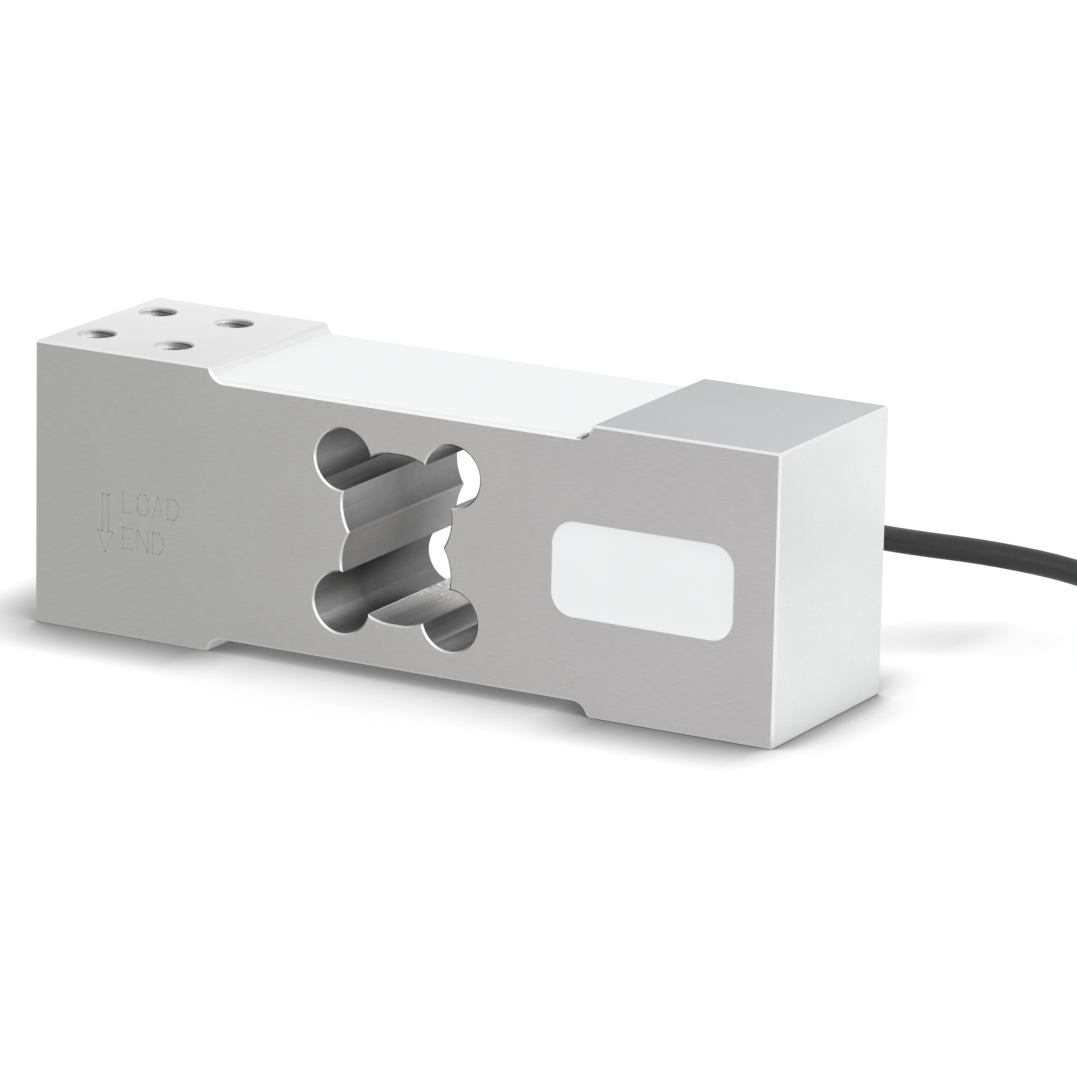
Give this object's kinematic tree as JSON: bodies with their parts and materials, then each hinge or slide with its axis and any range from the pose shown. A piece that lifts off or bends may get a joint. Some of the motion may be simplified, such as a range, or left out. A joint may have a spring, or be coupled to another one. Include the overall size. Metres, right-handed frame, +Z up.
{
  "type": "single point load cell",
  "caption": "Bored aluminium beam that measures weight, with silicone-covered strain gauges, tapped holes at each end and a coiled signal cable.",
  "frame": {"origin": "centre of the underside of the spring body", "axes": "+X along the beam from the loaded end to the fixed end, +Z up, front face with the wiring pocket towards -Y"},
  "size_m": [0.3253, 0.1082, 0.061],
  "materials": {
    "aluminium": "satin milled",
    "white_silicone": "soft satin",
    "green_laminate": "satin laminate",
    "tinned_copper": "tinned",
    "enamelled_wire": "enamelled",
    "foam_pad": "matt",
    "resistor_body": "glazed",
    "red_core": "smooth",
    "black_core": "smooth",
    "green_core": "smooth",
    "white_core": "smooth",
    "cable_jacket": "semi-gloss",
    "steel_ring": "crimped",
    "black_rubber": "matt",
    "black_nylon": "satin",
    "shrink_sleeve": "satin",
    "polyimide": "film",
    "gauge_foil": "etched foil"
  },
  "bodies": {
    "root": {"board_pad": "foam_pad", "bottom_gauge_cover": "white_silicone", "bridge_board": "green_laminate", "bridge_leads_bottom": "enamelled_wire", "bridge_leads_top": "enamelled_wire", "cable": "cable_jacket", "cable_coil": "cable_jacket", "cable_grommet": "black_rubber", "cable_inner_end": "cable_jacket", "cable_stop_ring": "steel_ring", "coil_ties": "black_nylon", "gauge_carrier_bottom_left": "polyimide", "gauge_carrier_bottom_right": "polyimide", "gauge_carrier_top_left": "polyimide", "gauge_carrier_top_right": "polyimide", "gauge_foil_bottom_left": "gauge_foil", "gauge_foil_bottom_right": "gauge_foil", "gauge_foil_top_left": "gauge_foil", "gauge_foil_top_right": "gauge_foil", "gauge_wires_bottom": "tinned_copper", "gauge_wires_top": "tinned_copper", "inner_core_black": "black_core", "inner_core_green": "green_core", "inner_core_red": "red_core", "inner_core_white": "white_core", "inner_drain_wire": "tinned_copper", "side_pocket_fill": "white_silicone", "spring_body": "aluminium", "tail_core_black": "black_core", "tail_core_green": "green_core", "tail_core_red": "red_core", "tail_core_white": "white_core", "tail_drain_wire": "tinned_copper", "tail_sleeve": "shrink_sleeve", "terminal_strip_bottom": "green_laminate", "terminal_strip_top": "green_laminate", "top_gauge_cover": "white_silicone", "trim_resistors": "resistor_body"}
  },
  "joints": []
}
